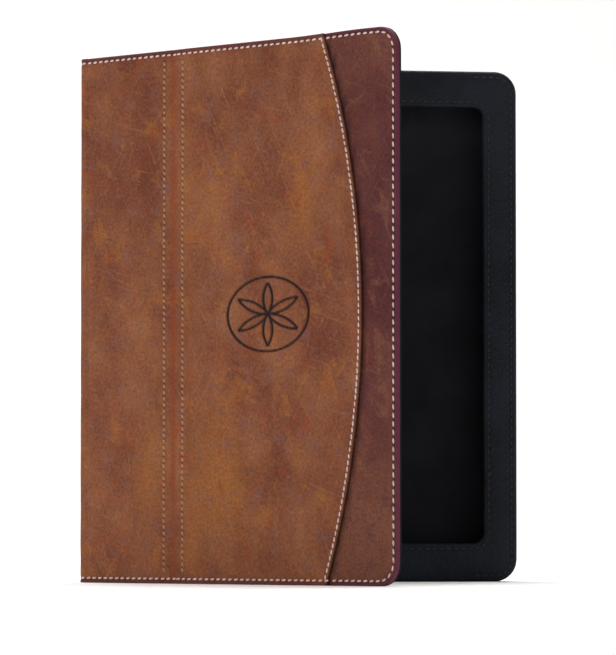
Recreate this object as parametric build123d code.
from build123d import *
import os
from math import cos, sin, radians

# Leather folio case for a tablet, standing half open on its bottom edge.
# +Z is up, +X runs across the holder away from the spine, +Y points out of the holder's back.
# The origin is the middle of the holder's bottom face.

# Driving dimensions, in millimetres and degrees
PANEL_HEIGHT = 255.0
HOLDER_WIDTH = 201.0
HOLDER_HEIGHT = 252.6
CORNER_RADIUS = 11.0

TABLET_WIDTH = 189.7
TABLET_THICKNESS = 13.4
TABLET_SIDE_PLAY = 0.8
TABLET_FACE_PLAY = 0.8

WINDOW_SIDE_BAND = 17.0
WINDOW_TOP_BAND = 18.0
WINDOW_BOTTOM_BAND = 18.8
WINDOW_RADIUS = 5.0

LEATHER = 1.2
LINING = 0.8
BACK_BOARD = 1.7
SPINE_BOARD = 1.6
COVER_BOARD = 1.4
POCKET_BACKING = 1.0
POCKET_GAP = 0.2
FRAME_BOARD = 1.0
FRAME_LINING = 0.6
BOARD_INSET = 4.5

COVER_WIDTH = 205.4
COVER_GAP = 0.8
SPINE_CLEARANCE = 0.5
HINGE_REACH = 4.0
HINGE_BEND_RADIUS = 3.0
SPINE_OPEN_ANGLE = 30.0
COVER_OPEN_ANGLE = 22.0

CREASE_POSITION = 63.3
CREASE_HALF_WIDTH = 5.0
CREASE_SEAM_OFFSET = 6.2
CREASE_BOARD_OFFSET = 7.5
CREASE_LINING_LIFT = 1.8

POCKET_SEAM_RADIUS = 360.5
POCKET_SEAM_REACH = 183.0
POCKET_SEAM_LEVEL = 124.7
POCKET_EDGE_MARGIN = 1.8

SEAM_INSET = 2.3
FRAME_SEAM_INSET = 3.0
WINDOW_SEAM_MARGIN = 2.6
THREAD_WIDTH = 0.7
THREAD_HEIGHT = 0.25

STOP_POSITION = 42.8
STOP_WIDTH = 10.0
STOP_LENGTH = 120.0
STOP_THICKNESS = 2.4
STOP_RADIUS = 3.0
STOP_SEAM_INSET = 2.0

# Layer depths of the holder, measured along Y with the tablet pocket in the middle
wall_thickness = (HOLDER_WIDTH - TABLET_WIDTH - TABLET_SIDE_PLAY) / 2
pocket_depth = TABLET_THICKNESS + TABLET_FACE_PLAY
frame_thickness = LEATHER + FRAME_BOARD + FRAME_LINING
back_thickness = LEATHER + BACK_BOARD + LINING
holder_depth = frame_thickness + pocket_depth + back_thickness
front_face = -holder_depth / 2
pocket_front = front_face + frame_thickness
pocket_back = pocket_front + pocket_depth
back_face = holder_depth / 2

# Layer depths of the cover, measured outwards from its inner face
cover_thickness = LINING + COVER_BOARD + POCKET_BACKING + POCKET_GAP + LEATHER
backing_level = LINING + COVER_BOARD
leather_level = cover_thickness - LEATHER
spine_thickness = LINING + SPINE_BOARD + LEATHER

# Fold axes: vertical lines in the middle of the outer leather, and in the crease's two layers
rear_axis = Vector(-HOLDER_WIDTH / 2 - SPINE_CLEARANCE - spine_thickness + LEATHER / 2,
                   back_face - LEATHER / 2, 0)
back_start = rear_axis.X + HINGE_REACH
spine_span = holder_depth - LEATHER / 2 + COVER_GAP + cover_thickness - LEATHER / 2
cover_angle = SPINE_OPEN_ANGLE + COVER_OPEN_ANGLE
spine_direction = Vector(-sin(radians(SPINE_OPEN_ANGLE)), -cos(radians(SPINE_OPEN_ANGLE)), 0)
cover_direction = Vector(cos(radians(cover_angle)), -sin(radians(cover_angle)), 0)
front_axis = rear_axis + spine_direction * spine_span
cover_outward = cover_direction.cross(Vector(0, 0, 1))
spine_outward = Vector(0, 0, 1).cross(spine_direction) * -1
crease_level = CREASE_LINING_LIFT + (LINING + LEATHER) / 2
axis_level = cover_thickness - LEATHER / 2
crease_axis = (front_axis + cover_direction * CREASE_POSITION
               + cover_outward * (crease_level - axis_level))

# Working planes: x runs along each panel away from the back, y is up, z points out of the case
cover_inner = Plane(front_axis - cover_outward * axis_level, x_dir=cover_direction,
                    z_dir=cover_outward)
spine_inner = Plane(rear_axis - spine_outward * (spine_thickness - LEATHER / 2),
                    x_dir=spine_direction, z_dir=spine_outward)
holder_front = Plane((0, 0, 0), x_dir=(1, 0, 0), z_dir=(0, -1, 0))


def layer(plane, outline, low, high):
    """A flat sheet of material between two heights above a working plane."""
    return extrude(plane.offset(low) * outline, high - low)


def holder_layer(outline, front, back):
    """A flat sheet of the holder between two depths along Y."""
    return layer(holder_front, outline, -back, -front)


def rounded_panel(left, right, bottom, top, radius, rounded_sides):
    """A rectangle whose corners on the named sides are round."""
    panel = Pos((left + right) / 2, (bottom + top) / 2) * Rectangle(right - left, top - bottom)
    centre = (left + right) / 2
    corners = [v for v in panel.vertices()
               if ("left" in rounded_sides and v.X < centre)
               or ("right" in rounded_sides and v.X > centre)]
    return fillet(corners, radius) if corners else panel


def seam_band(centre_outline):
    """A thread-wide band on both sides of an outline, as a flat ring."""
    return (offset(centre_outline, THREAD_WIDTH / 2)
            - offset(centre_outline, -THREAD_WIDTH / 2))


def rectangle_between(left, right, bottom, top):
    return Pos((left + right) / 2, (bottom + top) / 2) * Rectangle(right - left, top - bottom)


def holder_outline(inset=0):
    """The holder's front outline, with all four corners round."""
    half = HOLDER_WIDTH / 2 - inset
    return rounded_panel(-half, half, inset, HOLDER_HEIGHT - inset,
                         CORNER_RADIUS - inset, ("left", "right"))


def back_outline(inset=0):
    """The back panel's outline, square where it meets the spine fold."""
    return rounded_panel(back_start, HOLDER_WIDTH / 2 - inset, inset,
                         PANEL_HEIGHT - inset, CORNER_RADIUS - inset, ("right",))


def window_outline(margin=0):
    """The window's outline, grown outwards by a margin."""
    half = HOLDER_WIDTH / 2 - WINDOW_SIDE_BAND + margin
    return rounded_panel(-half, half, WINDOW_BOTTOM_BAND - margin,
                         HOLDER_HEIGHT - WINDOW_TOP_BAND + margin,
                         WINDOW_RADIUS + margin, ("left", "right"))


def cover_outline(start, inset=0):
    """The wide cover panel from a distance along the cover to its free edge."""
    return rounded_panel(start, COVER_WIDTH - inset, inset, PANEL_HEIGHT - inset,
                         CORNER_RADIUS - inset, ("right",))


def pocket_disc(margin=0):
    """The disc whose rim is the slip pocket's seam, grown outwards by a margin."""
    centre = POCKET_SEAM_REACH - POCKET_SEAM_RADIUS
    return Pos(centre, POCKET_SEAM_LEVEL) * Circle(POCKET_SEAM_RADIUS + margin)


def folded_strip(axis, first, second, inner, outer):
    """A sheet bent round an upright fold axis, between two offsets towards the bend's outside."""
    upright = Vector(0, 0, 1)
    bisector = (first + second).normalized()
    half_angle = radians(first.get_angle(second) / 2)
    lines = []
    for level in (inner, outer):
        start = axis + first * HINGE_REACH + upright.cross(first) * level
        end = axis + second * HINGE_REACH + second.cross(upright) * level
        corner = axis - bisector * (level / sin(half_angle))
        lines.append(FilletPolyline(start, corner, end, radius=HINGE_BEND_RADIUS + level))
    caps = [Line(lines[0] @ 0, lines[1] @ 0), Line(lines[0] @ 1, lines[1] @ 1)]
    outline = make_face([edge for line in lines for edge in line.edges()] + caps)
    return extrude(outline, PANEL_HEIGHT, dir=upright)


def holder_pieces():
    """The back panel, the pocket's wall and the window frame."""
    wall_inside = rounded_panel(-HOLDER_WIDTH / 2 + wall_thickness,
                                HOLDER_WIDTH / 2 - wall_thickness, wall_thickness,
                                HOLDER_HEIGHT + CORNER_RADIUS,
                                CORNER_RADIUS - wall_thickness, ("left", "right"))
    frame_leather_back = front_face + LEATHER
    frame_board_back = frame_leather_back + FRAME_BOARD
    board_front = pocket_back + LINING
    board_back = board_front + BACK_BOARD
    window = window_outline()
    board_window = window_outline(LEATHER)
    seam_front = front_face - THREAD_HEIGHT
    return {
        "back_leather": holder_layer(back_outline(), board_back, back_face),
        "back_board": holder_layer(back_outline(BOARD_INSET), board_front, board_back),
        "back_lining": holder_layer(back_outline(), pocket_back, board_front),
        "holder_wall": holder_layer(holder_outline() - wall_inside, pocket_front, pocket_back),
        "window_frame_lining": holder_layer(holder_outline() - window,
                                            frame_board_back, pocket_front),
        "window_frame_board": holder_layer(holder_outline(LEATHER) - board_window,
                                           frame_leather_back, frame_board_back),
        "window_frame_leather": holder_layer(holder_outline() - window,
                                             front_face, frame_leather_back),
        "window_thread": holder_layer(seam_band(window_outline(WINDOW_SEAM_MARGIN)),
                                      seam_front, front_face),
        "frame_edge_thread": frame_edge_seams(seam_front),
        "back_edge_thread": back_edge_seam(),
        "stand_stop": stand_stop(),
        "stand_stop_thread": stand_stop_seam(),
    }


def frame_edge_seams(seam_front):
    """One seam down each side of the frame, turning a little way in at its corners."""
    ring = seam_band(holder_outline(FRAME_SEAM_INSET))
    middle = rectangle_between(-HOLDER_WIDTH / 2 + 2 * CORNER_RADIUS,
                               HOLDER_WIDTH / 2 - 2 * CORNER_RADIUS, 0, HOLDER_HEIGHT)
    return holder_layer(ring - middle, seam_front, front_face)


def back_edge_seam():
    """The seam round the back panel, open on the spine side."""
    reach = HOLDER_WIDTH / 2
    ring = seam_band(rounded_panel(-HOLDER_WIDTH, reach - SEAM_INSET, SEAM_INSET,
                                   PANEL_HEIGHT - SEAM_INSET, CORNER_RADIUS - SEAM_INSET,
                                   ("right",)))
    kept = ring & rectangle_between(back_start, reach, 0, PANEL_HEIGHT)
    return holder_layer(kept, back_face, back_face + THREAD_HEIGHT)


def stop_outline(inset=0):
    """The leather stop on the back that holds the cover's free edge in the stand position."""
    middle = PANEL_HEIGHT / 2
    return rounded_panel(STOP_POSITION + inset, STOP_POSITION + STOP_WIDTH - inset,
                         middle - STOP_LENGTH / 2 + inset, middle + STOP_LENGTH / 2 - inset,
                         STOP_RADIUS - inset, ("left", "right"))


def stand_stop():
    return holder_layer(stop_outline(), back_face, back_face + STOP_THICKNESS)


def stand_stop_seam():
    top = back_face + STOP_THICKNESS
    return holder_layer(seam_band(stop_outline(STOP_SEAM_INSET)), top, top + THREAD_HEIGHT)


def spine_pieces():
    """The stiffened spine between its two folds."""
    start, end = HINGE_REACH, spine_span - HINGE_REACH
    strip = rectangle_between(start, end, 0, PANEL_HEIGHT)
    core = rectangle_between(start, end, BOARD_INSET, PANEL_HEIGHT - BOARD_INSET)
    board_top = LINING + SPINE_BOARD
    return {
        "spine_lining": layer(spine_inner, strip, 0, LINING),
        "spine_board": layer(spine_inner, core, LINING, board_top),
        "spine_leather": layer(spine_inner, strip, board_top, spine_thickness),
    }


def straight_seams(start, end):
    """Two straight seams along the top and bottom edges."""
    lower = rectangle_between(start, end, SEAM_INSET - THREAD_WIDTH / 2,
                              SEAM_INSET + THREAD_WIDTH / 2)
    return lower + Pos(0, PANEL_HEIGHT - 2 * SEAM_INSET) * lower


def crease_seam(position):
    """An upright seam beside the crease, between the top and bottom edge seams."""
    margin = 2 * SEAM_INSET
    return rectangle_between(position - THREAD_WIDTH / 2, position + THREAD_WIDTH / 2,
                             margin, PANEL_HEIGHT - margin)


def narrow_panel_pieces():
    """The part of the cover between the spine and the crease."""
    start, end = HINGE_REACH, CREASE_POSITION - CREASE_HALF_WIDTH
    board_end = CREASE_POSITION - CREASE_BOARD_OFFSET
    strip = rectangle_between(start, end, 0, PANEL_HEIGHT)
    core = rectangle_between(start, board_end, BOARD_INSET, PANEL_HEIGHT - BOARD_INSET)
    seam_top = cover_thickness + THREAD_HEIGHT
    crease = crease_seam(CREASE_POSITION - CREASE_SEAM_OFFSET)
    return {
        "narrow_panel_lining": layer(cover_inner, strip, 0, LINING),
        "narrow_panel_board": layer(cover_inner, core, LINING, leather_level),
        "narrow_panel_leather": layer(cover_inner, strip, leather_level, cover_thickness),
        "narrow_panel_edge_thread": layer(cover_inner, straight_seams(start, end),
                                          cover_thickness, seam_top),
        "crease_thread_spine_side": layer(cover_inner, crease, cover_thickness, seam_top),
    }


def wide_panel_pieces():
    """The part of the cover beyond the crease, with the slip pocket's curved mouth."""
    start = CREASE_POSITION + CREASE_HALF_WIDTH
    board_start = CREASE_POSITION + CREASE_BOARD_OFFSET
    core = cover_outline(board_start, BOARD_INSET)
    front = cover_outline(start) & pocket_disc(POCKET_EDGE_MARGIN)
    exposed = cover_outline(start) - pocket_disc(POCKET_EDGE_MARGIN)
    edge_ring = seam_band(cover_outline(-COVER_WIDTH, SEAM_INSET)) & cover_outline(start)
    pocket_seam = seam_band(pocket_disc()) & cover_outline(start, 2 * SEAM_INSET)
    crease = crease_seam(CREASE_POSITION + CREASE_SEAM_OFFSET)
    backing_top = backing_level + POCKET_BACKING
    seam_top = cover_thickness + THREAD_HEIGHT
    edge_thread = [layer(cover_inner, edge_ring & front, cover_thickness, seam_top),
                   layer(cover_inner, edge_ring & exposed, backing_top,
                         backing_top + THREAD_HEIGHT)]
    return {
        "wide_panel_lining": layer(cover_inner, cover_outline(start), 0, LINING),
        "wide_panel_board": layer(cover_inner, core, LINING, backing_level),
        "pocket_backing_leather": layer(cover_inner, cover_outline(board_start),
                                        backing_level, backing_top),
        "pocket_front_leather": layer(cover_inner, front, leather_level, cover_thickness),
        "wide_panel_edge_thread": Compound(children=[s for e in edge_thread for s in e.solids()]),
        "pocket_edge_thread": layer(cover_inner, pocket_seam, cover_thickness, seam_top),
        "crease_thread_free_side": layer(cover_inner, crease, cover_thickness, seam_top),
    }


def fold_pieces():
    """The soft strips of leather and lining that bend at the two spine edges and the crease."""
    to_back = Vector(1, 0, 0)
    to_rear = spine_direction * -1
    half = LEATHER / 2
    start = CREASE_POSITION - CREASE_HALF_WIDTH
    end = CREASE_POSITION + CREASE_HALF_WIDTH
    crease = rectangle_between(start, end, 0, PANEL_HEIGHT)
    crease_joint = CREASE_LINING_LIFT + LINING
    return {
        "rear_fold_leather": folded_strip(rear_axis, to_back, spine_direction, -half, half),
        "rear_fold_lining": folded_strip(rear_axis, to_back, spine_direction,
                                         -half - LINING, -half),
        "front_fold_leather": folded_strip(front_axis, to_rear, cover_direction, -half, half),
        "front_fold_lining": folded_strip(front_axis, to_rear, cover_direction,
                                          -half - LINING, -half),
        "crease_lining": layer(cover_inner, crease, CREASE_LINING_LIFT, crease_joint),
        "crease_leather": layer(cover_inner, crease, crease_joint, crease_joint + LEATHER),
    }


pieces = {**holder_pieces(), **spine_pieces(), **narrow_panel_pieces(),
          **wide_panel_pieces(), **fold_pieces()}

os.makedirs("parts", exist_ok=True)
for name, shape in pieces.items():
    export_step(shape, f"parts/{name}.step")

for name, axis in (("rear fold", rear_axis), ("front fold", front_axis),
                   ("crease", crease_axis)):
    print(f"{name} axis at x {axis.X:.3f}, y {axis.Y:.3f}")
